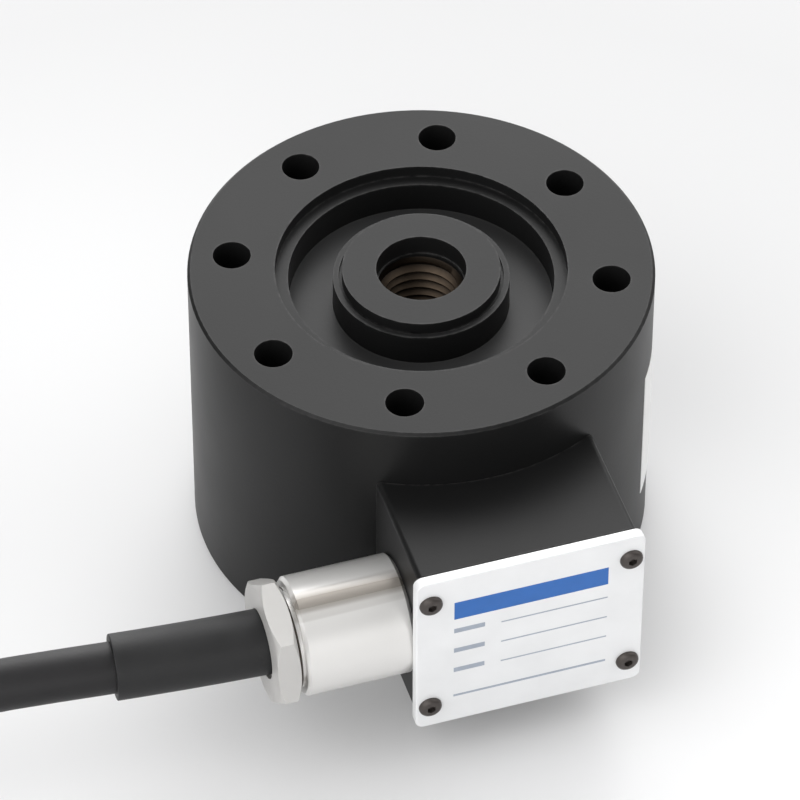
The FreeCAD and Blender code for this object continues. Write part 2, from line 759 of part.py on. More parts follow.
def rounded_path(points):
    """Straight runs joined by tangent arcs as large as the runs allow, and the radii of the arcs."""
    edges, radii = [], []
    start = points[0]
    for before, corner, after in zip(points, points[1:], points[2:]):
        back, ahead = before - corner, after - corner
        half = (math.pi - back.getAngle(ahead)) / 2
        length = BEND_SHARE * min(back.Length, ahead.Length)
        radius = length / math.tan(half)
        inward = (Vector(back).normalize() + Vector(ahead).normalize()).normalize()
        first = corner + Vector(back).normalize() * length
        last = corner + Vector(ahead).normalize() * length
        middle = corner + inward * (radius / math.cos(half) - radius)
        edges.append(Part.LineSegment(start, first).toShape())
        edges.append(Part.Arc(first, middle, last).toShape())
        radii.append(radius)
        start = last
    edges.append(Part.LineSegment(start, points[-1]).toShape())
    return edges, radii


def sweep(edges, diameter):
    """A round bar along edges that follow each other."""
    path = Part.Wire(edges)
    start = edges[0].valueAt(edges[0].FirstParameter)
    heading = edges[0].tangentAt(edges[0].FirstParameter)
    section = Part.Wire(Part.makeCircle(diameter / 2, start, heading))
    bar = path.makePipeShell([section], True, False, SQUARE_CORNERS)
    expected = math.pi * diameter ** 2 / 4 * path.Length
    if abs(bar.Volume / expected - 1) > BAR_TOLERANCE:
        raise RuntimeError("a swept bar has the wrong volume")
    return bar


def straight_bar(start, end, diameter):
    """A round bar between two points."""
    return Part.makeCylinder(diameter / 2, (end - start).Length, start, end - start)


def keep_shape(label, shape):
    """A sub-part whose shape is made directly."""
    item = doc.addObject("Part::Feature", label)
    item.Shape = shape
    return keep(item, label)


def route_points():
    """The corners of the cable's route, from its seat in the gland to the first turn of the coil."""
    port = Vector(-size("box_width"), -size("ring_dia"), 0) / 2
    port += Vector(0, -size("gland_stand"), size("box_mid") - size("gland_drop"))
    drops = {"gland": 0.0, "coil": port.z - size("tie_thick") - size("cable_dia") / 2}
    corners = [(size("sleeve_seat"), 0.0, "gland")] + CABLE_ROUTE
    return [port + Vector(-along, across, -drops[level]) for along, across, level in corners]


def sleeve_run(edges):
    """The first run and bend of the cable, and its second run as far as the sleeve reaches."""
    start, end = (vertex.Point for vertex in edges[2].Vertexes)
    rest = size("sleeve_length") - edges[0].Length - edges[1].Length
    return edges[:2] + [Part.LineSegment(start, start + (end - start).normalize() * rest).toShape()]


def make_cable():
    """Cable end in the gland with its cores, the free run and the sleeve round its first bend."""
    edges, radii = rounded_path(route_points())
    print("cable bend radii", [round(radius, 1) for radius in radii])
    keep_shape("cable", sweep(edges, size("cable_dia")))
    run = sleeve_run(edges)
    sleeve = sweep(run, size("sleeve_dia"))
    keep_shape("cable_sleeve", sleeve.cut(sweep(run, size("cable_dia") + 2 * size("slip"))))
    mouth = route_points()[0]
    inner_x = size("board_shift") - size("board_width") / 2 - size("core_run")
    inner = Vector(inner_x, mouth.y, mouth.z)
    keep_shape("cable_entry", straight_bar(inner, mouth, size("cable_dia")))
    front = size("ring_dia") / 2 + size("back_wall") + size("spacer_length") + size("board_thick")
    depth = -(front + size("block_depth") / 2)
    corner = Vector(inner_x, depth - size("box_width") / 2, mouth.z - size("box_height") / 2)
    room = Part.makeBox(size("core_run"), size("box_width"), size("box_height"), corner)
    for index, colour in enumerate(CORES):
        step = index - (len(CORES) - 1) / 2
        start = Vector(inner_x, depth, mouth.z + step * (size("core_dia") + size("core_gap")))
        end_z = mouth.z + size("block_rise") + size("core_pitch") * step
        end = Vector(inner_x + size("core_run"), depth, end_z)
        heading = Vector(end - start).normalize()
        bar = straight_bar(start - heading, end + heading, size("core_dia"))
        keep_shape(f"core_{colour}", bar.common(room))


def coil_frame():
    """Centre of the coil and the angle at which the cable meets its outer turn."""
    last, end = route_points()[-2:]
    heading = Vector(end.x - last.x, end.y - last.y, 0).normalize()
    outward = Vector(-heading.y, heading.x, 0)
    radius = (size("coil_mean_dia") + (size("coil_columns") - 1) * size("cable_dia")) / 2
    centre = Vector(end.x, end.y, 0) - outward * radius
    return centre, math.degrees(math.atan2(outward.y, outward.x))


def coil_place(angle):
    """The place of a body on the coil's axis, with its x axis turned to an angle round the coil."""
    return Placement(coil_frame()[0], Rotation(Vector(0, 0, 1), angle))


def make_coil():
    """The outer form of the coil, with room for the cable that comes in and for its bare end."""
    body = new_body("cable_coil")
    body.Placement = coil_place(TAIL_START)
    sketch = new_sketch(body, "XZ_Plane")
    rectangle(sketch, COIL_IN, COIL_OUT, "tie_thick", COIL_HIGH)
    turn("Revolution", body, sketch, "V_Axis")
    for side in (-1, 1):
        rim = (size("coil_mean_dia") + side * size("coil_columns") * size("cable_dia")) / 2
        dress("Chamfer", body, "Size", "coil_bevel", is_circle(rim))
    turn_in = f"({OUTER_TURN} - cable_dia / 2 - slip)"
    second_layer = "tie_thick + cable_dia + slip"
    entry = new_sketch(body, "XY_Plane", turn=str(coil_frame()[1] - TAIL_START))
    rectangle(entry, turn_in, f"{COIL_OUT} + cable_dia", "0", COIL_OUT)
    extrude("Pocket", body, entry, second_layer, reverse=True)
    tail = new_sketch(body, "XZ_Plane")
    rectangle(tail, turn_in, f"{COIL_OUT} + cable_dia", second_layer, f"{COIL_HIGH} + cable_dia")
    slot = "end_sleeve_angle + lead_angle + slot_spare"
    turn("Groove", body, tail, "V_Axis", angle=slot, reverse=True)


def make_ties():
    """Straps round the coil, each hugging its section and lying flat under it."""
    bands = []
    inner = f"sqrt({COIL_IN} * {COIL_IN} - tie_width * tie_width / 4)"
    for angle in TIE_ANGLES:
        band = source_body("coil_tie")
        band.Placement = coil_place(angle)
        sketch = new_sketch(band, "XZ_Plane", lift="-tie_width / 2")
        rectangle(sketch, f"{inner} - tie_thick", f"{COIL_OUT} + tie_thick", "0", f"{COIL_HIGH} + tie_thick")
        rectangle(sketch, inner, COIL_OUT, "tie_thick", COIL_HIGH)
        extrude("Pad", band, sketch, "tie_width")
        bands.append(band)
    gather("coil_ties", bands)


def coil_point(angle, radius, height):
    """A point at an angle, radius and height of the coil."""
    turned = math.radians(angle)
    return coil_frame()[0] + Vector(radius * math.cos(turned), radius * math.sin(turned), height)


def make_tail():
    """End sleeve and four bare leads in the free slot of the coil's last turn."""
    sleeve = new_body("end_sleeve")
    sleeve.Placement = coil_place(TAIL_START)
    sketch = new_sketch(sleeve, "XZ_Plane")
    disc(sketch, OUTER_TURN, f"{COIL_HIGH} - cable_dia / 2", "cable_dia - 2 * slip")
    turn("Revolution", sleeve, sketch, "V_Axis", angle="end_sleeve_angle", reverse=True)
    outer_turn = (size("coil_mean_dia") + (size("coil_columns") - 1) * size("cable_dia")) / 2
    spacing = size("lead_dia") + size("slip")
    floor = size("tie_thick") + size("cable_dia") + size("slip") + spacing / 2
    start = TAIL_START - size("end_sleeve_angle") - size("lead_gap_angle")
    bends = [start - share * size("lead_angle") for share in (0.0, 0.5, 1.0)]
    tips = []
    for index, colour in enumerate(CORES):
        radius = outer_turn + (index % 2 - 0.5) * spacing
        height = floor + index // 2 * spacing
        corners = [coil_point(angle, radius, height) for angle in bends]
        runs = [Part.LineSegment(*pair).toShape() for pair in zip(corners, corners[1:])]
        keep_shape(f"lead_{colour}", sweep(runs, size("lead_dia")))
        heading = (corners[-1] - corners[-2]).normalize()
        tips.append(straight_bar(corners[-1], corners[-1] + heading * size("tip_length"), size("tip_dia")))
    keep_shape("lead_tips", Part.makeCompound(tips))


def write_parts():
    """Check every object and write each sub-part to its own file."""
    doc.recompute()
    faults = [item.Label for item in doc.Objects if "Invalid" in item.State or "Error" in item.State]
    faults += [item.Label for item in nodes if item.Shape.isNull() or not item.Shape.isValid()]
    if faults:
        raise RuntimeError(f"objects that failed: {faults}")
    os.makedirs("parts", exist_ok=True)
    for item in nodes:
        item.Shape.exportStep(f"parts/{item.Label}.step")
        print(item.Label, len(item.Shape.Solids), "solids", round(item.Shape.Volume, 1), "mm3")


def main():
    fill_sheet()
    make_elastic_body()
    make_seals()
    make_gauges()
    make_junction_box()
    make_box_screws()
    make_cover()
    make_board()
    make_gland()
    make_cable()
    make_coil()
    make_ties()
    make_tail()
    write_parts()


main()
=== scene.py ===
"""Looks of a ring load cell: finishes, threads, plate print, side label, cable and stage."""
import math

import bmesh
import bpy
from bpy.props import FloatProperty, FloatVectorProperty, PointerProperty
from mathutils import Matrix, Quaternion, Vector


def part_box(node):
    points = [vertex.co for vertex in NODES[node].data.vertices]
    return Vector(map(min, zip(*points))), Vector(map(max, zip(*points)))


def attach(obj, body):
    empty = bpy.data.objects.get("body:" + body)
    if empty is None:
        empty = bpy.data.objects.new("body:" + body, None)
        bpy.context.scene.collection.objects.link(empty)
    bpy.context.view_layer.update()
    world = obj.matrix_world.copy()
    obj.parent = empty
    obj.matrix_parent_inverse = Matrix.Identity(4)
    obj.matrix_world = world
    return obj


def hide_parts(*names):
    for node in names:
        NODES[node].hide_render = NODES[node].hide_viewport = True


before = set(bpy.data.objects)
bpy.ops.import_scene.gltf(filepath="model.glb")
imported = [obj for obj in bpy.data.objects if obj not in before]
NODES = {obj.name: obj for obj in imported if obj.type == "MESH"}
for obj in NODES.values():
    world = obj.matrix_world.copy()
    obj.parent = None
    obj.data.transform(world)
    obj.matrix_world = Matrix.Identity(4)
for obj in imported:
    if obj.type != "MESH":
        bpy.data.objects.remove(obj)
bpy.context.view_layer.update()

bl_info = {
    "name": "Ring load cell",
    "version": (1, 0, 0),
    "blender": (4, 5, 0),
    "location": "3D View > Sidebar > Load cell",
    "description": "Finishes, threads, plate print, side label, cable and stage of a ring load cell",
    "category": "Object",
}

MM = 0.001

# Centre thread: radius at its roots, and the heights that it runs between.
THREAD_ROOT = 8.02 * MM
THREAD_LOW = 5.6 * MM
THREAD_HIGH = 54.6 * MM

# Thread on the gland's neck: radii at its roots and crests, and how far it goes to either side of the nut's
# face towards the box.
NECK_ROOT = 9.2 * MM
NECK_CREST = NECK_ROOT + 0.5 * MM
NECK_REACH = 1.0 * MM

# Cover plate: easing of its front edge and radius of its corners.
PLATE_EASE = 0.3 * MM
PLATE_CORNER = 1.6 * MM

# Button heads of the cover screws: radius of a head and of its flat crown, half the width of its socket,
# and how far it goes into the plate.
HEAD_RADIUS = 2.15 * MM
HEAD_CROWN = 1.25 * MM
SOCKET_HALF = 0.75 * MM
HEAD_SUNK = 0.1 * MM

# Print on the plate: how far it goes into the face, and how far it stands proud of it.
INK_SUNK = 0.02 * MM
INK_PROUD = 0.03 * MM

# Side label: where it starts and how far it goes round the ring, its lower edge, how far it goes into the
# wall, and how far it stands proud of it.
LABEL_START = math.radians(-33.8)
LABEL_SPAN = math.radians(27.8)
LABEL_LOW = 12.5 * MM
LABEL_SUNK = 0.02 * MM
LABEL_PROUD = 0.12 * MM

# Control points of the cable from its seat in the gland to the first turn of the coil, in millimetres.
CABLE_ROUTE = [
    (-29.6, -51.7, 26.95),
    (-50.5, -51.7, 26.95),
    (-118.0, -44.6, 26.95),
    (-158.0, -40.4, 5.75),
    (-190.0, -37.05, 5.75),
]

# Turns of the coil at which the cable starts to step inward, to climb to the upper layer and to step outward
# there, and how much of a turn a step and the climb take.
STEPS_INWARD = (0.65, 1.65)
CLIMB = 2.35
STEPS_OUTWARD = (3.0, 4.0)
STEP_SPAN = 0.35
CLIMB_SPAN = 0.3

# Angles round the coil, in degrees from the +X direction, where its straps sit and where the leads come out
# of the end sleeve.
STRAP_ANGLES = (50.0, 165.0)
LEAD_START = -51.2

# Leads of the bare end, in the order in which they fan out.
LEAD_COLOURS = ("black", "white", "green", "red")

# How far the end sleeve stands out from its solid, so that the round jacket goes into it.
END_SWELL = 0.3 * MM

# Floor: half its width, its drop below the part, the middle and the inner and outer radius of its
# paler patch, a painted pool of light that lifts the part's own shadow, and its lift where it is seen.
FLOOR_REACH = 3.0
FLOOR_DROP = 0.2 * MM
FLOOR_POOL_MIDDLE = (-0.03, -0.04, 0.0)
FLOOR_POOL_INNER = 0.03
FLOOR_POOL_OUTER = 0.19
FLOOR_LIFT = 0.09

# Broad soft lights on the walls of the room: azimuth from the front, elevation and reach in degrees, and
# level.
ROOM_LIGHTS = (
    (162.6, 44.0, 34.0, 3.4),
    (162.6, 12.0, 40.0, 2.8),
    (-77.4, 45.0, 42.0, 2.6),
    (-17.4, 45.0, 42.0, 0.4),
    (-17.4, 12.0, 40.0, 2.15),
    (92.0, 42.0, 45.0, 1.8),
)

# The point that the camera looks at.
CAMERA_TARGET = Vector((-8.979, -15.603, 43.044)) * MM


def colour_property(label, text, colour):
    """A colour that a user can change."""
    return FloatVectorProperty(
        name=label, description=text, default=colour, subtype="COLOR", size=3, min=0.0, max=1.0
    )


def length_property(label, text, millimetres):
    """A length that a user can change."""
    return FloatProperty(
        name=label, description=text, default=millimetres * MM, unit="LENGTH", subtype="DISTANCE"
    )


def angle_property(label, text, degrees):
    """An angle that a user can change."""
    return FloatProperty(
        name=label, description=text, default=math.radians(degrees), unit="ROTATION", subtype="ANGLE"
    )


class LoadCellFinish(bpy.types.PropertyGroup):
    """Colours of the finishes."""

    paint: colour_property("Paint", "Satin black paint of the ring and the box", (0.0085, 0.0085, 0.0086))
    # Paler copy of the black paint for the seal ring: painted light that brightens the recess floor.
    seal: colour_property("Seal paint", "Duller paint of the seal ring in the recess", (0.034, 0.034, 0.0343))
    # Paler paint on the edges: part worn paint, part painted highlight.
    paint_rub_and_highlight: colour_property("Rubbed and highlit paint", "Paint where edges are rubbed", (0.075, 0.074, 0.073))
    bare_thread: colour_property("Bare thread", "Oiled steel of the threads", (0.08, 0.058, 0.04))
    plate: colour_property("Plate", "Satin cover plate", (0.86, 0.865, 0.872))
    band: colour_property("Band", "Printed band on the plate", (0.02, 0.135, 0.46))
    rule: colour_property("Rule", "Printed lines on the plate", (0.36, 0.40, 0.47))
    screw: colour_property("Screw", "Dark oxide of the cover screws", (0.075, 0.065, 0.060))
    label: colour_property("Label", "Blank label on the side of the ring", (0.86, 0.86, 0.85))
    steel: colour_property("Steel", "Drawn steel of the gland", (0.78, 0.77, 0.752))
    # Darker streaks of the drawn steel, one of them laid as a painted reflection band.
    steel_streak_and_reflection: colour_property("Steel streaks and reflection band", "Darker streaks in the drawn steel", (0.30, 0.275, 0.245))
    nut: colour_property("Nut", "Matte steel of the gland nut", (0.56, 0.55, 0.535))
    sleeve: colour_property("Sleeve", "Rubber sleeve at the gland", (0.013, 0.013, 0.0135))
    jacket: colour_property("Jacket", "Jacket of the cable", (0.0115, 0.011, 0.0118))
    strap: colour_property("Strap", "Straps of the coil", (0.05, 0.05, 0.05))
    lead_black: colour_property("Black lead", "Insulation of the black lead", (0.02, 0.02, 0.02))
    lead_white: colour_property("White lead", "Insulation of the white lead", (0.8, 0.8, 0.78))
    lead_green: colour_property("Green lead", "Insulation of the green lead", (0.03, 0.3, 0.08))
    lead_red: colour_property("Red lead", "Insulation of the red lead", (0.55, 0.03, 0.03))
    copper: colour_property("Copper", "Tinned copper of the lead tips", (0.72, 0.5, 0.36))
    gauge: colour_property("Gauge film", "Film of the strain gauges", (0.62, 0.36, 0.1))
    loom: colour_property("Loom", "Jacket of the loom inside", (0.6, 0.6, 0.58))
    board: colour_property("Board", "Lacquer of the terminal board", (0.04, 0.2, 0.09))
    block: colour_property("Block", "Plastic of the terminal block", (0.08, 0.24, 0.12))
    resistor: colour_property("Resistor", "Bodies of the trim resistors", (0.12, 0.22, 0.36))
    brass: colour_property("Brass", "Spacers of the board", (0.72, 0.58, 0.3))


class LoadCellSizes(bpy.types.PropertyGroup):
    """Sizes of what is added to the solids."""

    thread_pitch: length_property("Thread pitch", "Rise of the centre thread in one turn", 2.0)
    thread_crest: length_property("Thread crest", "Radius at the crests of the centre thread", 6.95)
    neck_pitch: length_property("Neck pitch", "Rise of the thread on the gland's neck in one turn", 0.75)
    cable_dia: length_property("Cable diameter", "Diameter of the cable", 9.5)
    sleeve_dia: length_property("Sleeve diameter", "Diameter of the sleeve at the gland", 12.2)
    sleeve_length: length_property("Sleeve length", "Length of the sleeve along the cable", 44.1)
    coil_mean_dia: length_property("Coil diameter", "Diameter at the middle of the coil's turns", 114.0)
    coil_turns: FloatProperty(
        name="Coil turns", description="Turns of the put-away cable", default=4.84, min=1.0
    )
    strap_width: length_property("Strap width", "Width of the straps of the coil", 9.0)
    strap_thick: length_property("Strap thickness", "Thickness of the straps of the coil", 0.9)
    lead_dia: length_property("Lead diameter", "Diameter of one lead", 1.7)
    edge_round: length_property("Edge rounding", "Rounding of machined edges", 0.4)
    nut_round: length_property("Nut rounding", "Rounding of the nut's edges", 0.25)
    label_height: length_property("Label height", "Height of the blank side label", 30.5)


class LoadCellStage(bpy.types.PropertyGroup):
    """Camera and floor."""

    azimuth: angle_property("Azimuth", "Direction of the camera", -17.577)
    elevation: angle_property("Elevation", "Camera above the horizon", 45.528)
    roll: angle_property("Roll", "Turn of the camera about its view", 0.13)
    distance: length_property("Distance", "Distance of the camera from its target", 1050.0)
    lens: FloatProperty(
        name="Lens", description="Focal length on a 36 mm sensor", default=257.37, unit="CAMERA"
    )
    # Paler floor round the part: a painted pool of light that lifts the part's own shadow.
    floor: colour_property("Floor", "Plain pale floor round the part", (0.70, 0.70, 0.703))
    floor_far: colour_property("Floor further off", "Plain pale floor away from it", (0.545, 0.545, 0.548))


def fill(tree, socket, value):
    """Link a socket to another one, or set its own value."""
    if isinstance(value, bpy.types.NodeSocket):
        tree.links.new(value, socket)
    else:
        socket.default_value = value


def place(tree, kind, inputs=None, **settings):
    """Add a node, set its properties, and fill its inputs with values or with links from sockets."""
    node = tree.nodes.new(kind)
    for name, value in settings.items():
        setattr(node, name, value)
    for name, value in (inputs or {}).items():
        fill(tree, node.inputs[name], value)
    return node


def math_node(tree, operation, first, second):
    """The result of one operation on two values or sockets."""
    return place(tree, "ShaderNodeMath", {0: first, 1: second}, operation=operation).outputs[0]


def vector_node(tree, operation, first, second=(0.0, 0.0, 0.0)):
    """The outputs of one operation on two vectors: Vector, and Value for a length, distance or product."""
    return place(tree, "ShaderNodeVectorMath", {0: first, 1: second}, operation=operation).outputs


def object_spot(tree):
    """The place of a point in the frame of the part."""
    return place(tree, "ShaderNodeTexCoord").outputs["Object"]


def noise(tree, spot, scale, detail=3.0):
    """A soft cloudy value over the surface."""
    return place(tree, "ShaderNodeTexNoise", {"Vector": spot, "Scale": scale, "Detail": detail}).outputs[0]


def window(tree, value, low, high):
    """A mask that goes from 0 to 1 as a value goes from low to high."""
    limits = {"Value": value, "From Min": low, "From Max": high}
    return place(tree, "ShaderNodeMapRange", limits).outputs["Result"]


def spread(tree, mask, low, high):
    """A value that goes from low to high as a mask goes from 0 to 1."""
    limits = {"Value": mask, "To Min": low, "To Max": high}
    return place(tree, "ShaderNodeMapRange", limits).outputs["Result"]


def blend_colours(tree, mask, first, second):
    """Two colours mixed by a mask."""
    node = place(tree, "ShaderNodeMix", {0: mask}, data_type="RGBA")
    for socket, colour in ((node.inputs[6], first), (node.inputs[7], second)):
        fill(tree, socket, colour if isinstance(colour, bpy.types.NodeSocket) else (*colour[:3], 1.0))
    return node.outputs[2]


def shaded(colour, share):
    """A colour made darker or paler by a share."""
    return [min(1.0, share * part) for part in colour]


def mottled(tree, mask, colour, dark, pale):
    """A colour that wanders between a darker and a paler share of itself."""
    return blend_colours(tree, mask, shaded(colour, dark), shaded(colour, pale))


def new_group(name, inputs, outputs):
    """A shader node group with these number inputs and outputs, and the sockets at its two ends."""
    tree = bpy.data.node_groups.new(name, "ShaderNodeTree")
    for label, number in inputs:
        socket = tree.interface.new_socket(name=label, in_out="INPUT", socket_type="NodeSocketFloat")
        socket.default_value = number
    for label in outputs:
        tree.interface.new_socket(name=label, in_out="OUTPUT", socket_type="NodeSocketFloat")
    return tree, tree.nodes.new("NodeGroupInput").outputs, tree.nodes.new("NodeGroupOutput").inputs


def fine_grain_group():
    """Fine grain, and soft patches, over a surface."""
    inputs = [("Scale", 1500.0), ("Patch Scale", 60.0)]
    tree, given, result = new_group("Fine grain", inputs, ["Grain", "Patches"])
    spot = object_spot(tree)
    tree.links.new(noise(tree, spot, given["Scale"]), result["Grain"])
    tree.links.new(noise(tree, spot, given["Patch Scale"], detail=4.0), result["Patches"])
    return tree


def rubbed_and_highlit_edge_group():
    """A mask of the edges that hands and tools rub, which also carries a painted highlight along them."""
    tree, given, result = new_group("Rubbed edge", [("Width", 0.6 * MM), ("Breakup", 900.0)], ["Mask"])
    rounded = place(tree, "ShaderNodeBevel", {"Radius": given["Width"]}, samples=4).outputs[0]
    flat = place(tree, "ShaderNodeNewGeometry").outputs["Normal"]
    same = vector_node(tree, "DOT_PRODUCT", rounded, flat)["Value"]
    edge = window(tree, same, low=1.0, high=0.86)
    broken = window(tree, noise(tree, object_spot(tree), given["Breakup"]), low=0.35, high=0.65)
    tree.links.new(math_node(tree, "MULTIPLY", edge, broken), result["Mask"])
    return tree


def tool_lines_group():
    """Lines that a turning tool or brush leaves across one direction."""
    tree, given, result = new_group("Tool lines", [("Along", 0.0), ("Lines", 4000.0)], ["Lines"])
    stretched = math_node(tree, "MULTIPLY", given["Along"], given["Lines"])
    inputs = {"W": stretched, "Scale": 1.0, "Detail": 3.0}
    lines = place(tree, "ShaderNodeTexNoise", inputs, noise_dimensions="1D").outputs[0]
    tree.links.new(lines, result["Lines"])
    return tree


# Shared effects that are already built, by the name of their maker.
GROUPS = {}


def use_group(tree, maker, **inputs):
    """Place a shared effect in a material, with its own values, and give its outputs."""
    if maker.__name__ not in GROUPS:
        GROUPS[maker.__name__] = maker()
    node = place(tree, "ShaderNodeGroup", node_tree=GROUPS[maker.__name__])
    for name, value in inputs.items():
        fill(tree, node.inputs[name.replace("_", " ").title()], value)
    return node.outputs


def new_finish(name, **shader_values):
    """A new material, its tree and the inputs of its shader, with values set on those inputs."""
    material = bpy.data.materials.new(name)
    material.use_nodes = True
    tree = material.node_tree
    shader = tree.nodes["Principled BSDF"]
    for label, value in shader_values.items():
        shader.inputs[label.replace("_", " ")].default_value = value
    return material, tree, shader.inputs


def bump(tree, shader, height, strength, depth):
    """Give a surface fine relief from a height that goes from 0 to 1."""
    node = place(tree, "ShaderNodeBump", {"Height": height, "Strength": strength, "Distance": depth})
    tree.links.new(node.outputs[0], shader["Normal"])


def tool_marks(tree, axis, lines):
    """Lines of a tool across one axis of the part."""
    along = place(tree, "ShaderNodeSeparateXYZ", {0: object_spot(tree)}).outputs[axis]
    return use_group(tree, tool_lines_group, along=along, lines=lines)["Lines"]


def painted_finish(name, colour, rubbed_and_highlit):
    """Satin black paint with a fine grain, soft patches, and paler edges that are part worn paint and part
    painted highlight.
    """
    material, tree, shader = new_finish(name, Specular_IOR_Level=0.20)
    grain = use_group(tree, fine_grain_group, scale=1700.0, patch_scale=45.0)
    edge = use_group(tree, rubbed_and_highlit_edge_group, width=0.7 * MM, breakup=700.0)
    tone = mottled(tree, grain["Patches"], colour, dark=0.86, pale=1.14)
    # Paler edges: part worn paint, part a painted highlight where rounded edges catch the light.
    wear_and_highlight = 0.55
    worn_and_highlit = math_node(tree, "MULTIPLY", edge["Mask"], wear_and_highlight)
    tree.links.new(blend_colours(tree, worn_and_highlit, tone, rubbed_and_highlit), shader["Base Color"])
    tree.links.new(spread(tree, grain["Patches"], low=0.34, high=0.46), shader["Roughness"])
    bump(tree, shader, grain["Grain"], strength=0.10, depth=0.12 * MM)
    return material


def rubber_finish(name, colour, rough):
    """Matte rubber or cable jacket with a mottled skin."""
    material, tree, shader = new_finish(name, Specular_IOR_Level=0.32)
    grain = use_group(tree, fine_grain_group, scale=1300.0, patch_scale=160.0)
    tree.links.new(mottled(tree, grain["Patches"], colour, dark=0.75, pale=1.5), shader["Base Color"])
    sheen = spread(tree, grain["Patches"], low=rough - 0.08, high=rough + 0.08)
    tree.links.new(sheen, shader["Roughness"])
    bump(tree, shader, grain["Grain"], strength=0.16, depth=0.2 * MM)
    return material


def metal_finish(name, colour, rough, axis, lines=2500.0, strength=0.05, metallic=1.0):
    """Metal with the lines of its tool across one axis."""
    material, tree, shader = new_finish(name, Metallic=metallic)
    marks = tool_marks(tree, axis, lines)
    grain = use_group(tree, fine_grain_group, scale=500.0, patch_scale=110.0)
    tree.links.new(mottled(tree, grain["Patches"], colour, dark=0.92, pale=1.06), shader["Base Color"])
    marks_share, patches_share = 0.7, 0.3
    mixed = math_node(tree, "ADD", math_node(tree, "MULTIPLY", marks, marks_share),
                      math_node(tree, "MULTIPLY", grain["Patches"], patches_share))
    tree.links.new(spread(tree, mixed, low=0.75 * rough, high=1.25 * rough), shader["Roughness"])
    bump(tree, shader, marks, strength, depth=0.04 * MM)
    return material


def drawn_finish(name, colour, dark_streak_and_reflection):
    """Drawn steel with streaks along X, and fine turning lines across it; its darker streaks also serve as a
    painted reflection band.
    """
    material, tree, shader = new_finish(name, Metallic=0.38)
    # The layout puts a dark streak where a dark reflection band falls on the gland: a painted reflection.
    stretch, layout = (0.02, 1.0, 1.0), 4.74
    drawn = vector_node(tree, "MULTIPLY", object_spot(tree), stretch)[0]
    inputs = {"Vector": drawn, "W": layout, "Scale": 170.0, "Detail": 3.0}
    streaks = place(tree, "ShaderNodeTexNoise", inputs, noise_dimensions="4D").outputs[0]
    bright = window(tree, streaks, low=0.33, high=0.47)
    tree.links.new(blend_colours(tree, bright, dark_streak_and_reflection, colour), shader["Base Color"])
    tree.links.new(spread(tree, streaks, low=0.24, high=0.34), shader["Roughness"])
    bump(tree, shader, tool_marks(tree, axis="X", lines=3000.0), strength=0.04, depth=0.04 * MM)
    return material


def plastic_finish(name, colour, rough=0.5, uneven=0.1):
    """Moulded plastic, lacquer, ink or paper with a faint grain."""
    material, tree, shader = new_finish(name)
    grain = use_group(tree, fine_grain_group, scale=2200.0, patch_scale=300.0)
    tone = mottled(tree, grain["Patches"], colour, dark=1 - uneven, pale=1 + uneven)
    tree.links.new(tone, shader["Base Color"])
    sheen = spread(tree, grain["Grain"], low=rough - 0.06, high=rough + 0.06)
    tree.links.new(sheen, shader["Roughness"])
    bump(tree, shader, grain["Grain"], strength=0.08, depth=0.1 * MM)
    return material


def thread_finish(name, colour, root, crest, axis_point, across):
    """Bare steel that is darker with oil between a thread's crests, round a point on the thread's axis."""
    material, tree, shader = new_finish(name, Metallic=0.85)
    from_axis = vector_node(tree, "SUBTRACT", object_spot(tree), axis_point)[0]
    radius = vector_node(tree, "LENGTH", vector_node(tree, "MULTIPLY", from_axis, across)[0])["Value"]
    grain = use_group(tree, fine_grain_group, scale=1500.0, patch_scale=220.0)
    oily, stain = shaded(colour, share=0.22), 0.35
    tone = blend_colours(tree, window(tree, radius, low=root, high=crest), oily, colour)
    stained = blend_colours(tree, math_node(tree, "MULTIPLY", grain["Patches"], stain), tone, oily)
    tree.links.new(stained, shader["Base Color"])
    tree.links.new(spread(tree, grain["Grain"], low=0.32, high=0.5), shader["Roughness"])
    bump(tree, shader, grain["Grain"], strength=0.06, depth=0.08 * MM)
    return material


def coat_nodes(material, *names):
    """Give nodes of the frame one finish all over."""
    for name in names:
        slots = NODES[name].data.materials
        slots.clear()
        slots.append(material)


def weld(node):
    """Join the faces of a node with a modifier, which leaves its own mesh as it is."""
    node.modifiers.new("Weld", "WELD").merge_threshold = 0.002 * MM


def soften(name, width):
    """Round the sharp edges of a node with modifiers, which leave its own mesh as it is."""
    node = NODES[name]
    weld(node)
    bevel = node.modifiers.new("Bevel", "BEVEL")
    bevel.width = width
    bevel.segments = 2
    bevel.limit_method = "ANGLE"
    bevel.angle_limit = math.radians(38)
    bevel.use_clamp_overlap = True
    normals = node.modifiers.new("Normals", "WEIGHTED_NORMAL")
    normals.mode = "FACE_AREA_WITH_ANGLE"
    normals.weight = 100


def mesh_piece(name, shape, material, smooth_angle=30.0):
    """A new piece of the part from its points and faces, in the frame of the solids."""
    points, faces = shape
    mesh = bpy.data.meshes.new(name)
    mesh.from_pydata([tuple(point) for point in points], [], faces)
    work = bmesh.new()
    work.from_mesh(mesh)
    bmesh.ops.recalc_face_normals(work, faces=work.faces)
    for face in work.faces:
        face.smooth = True
    work.to_mesh(mesh)
    work.free()
    mesh.set_sharp_from_angle(angle=math.radians(smooth_angle))
    piece = bpy.data.objects.new(name, mesh)
    bpy.context.scene.collection.objects.link(piece)
    mesh.materials.append(material)
    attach(piece, "root")
    return piece


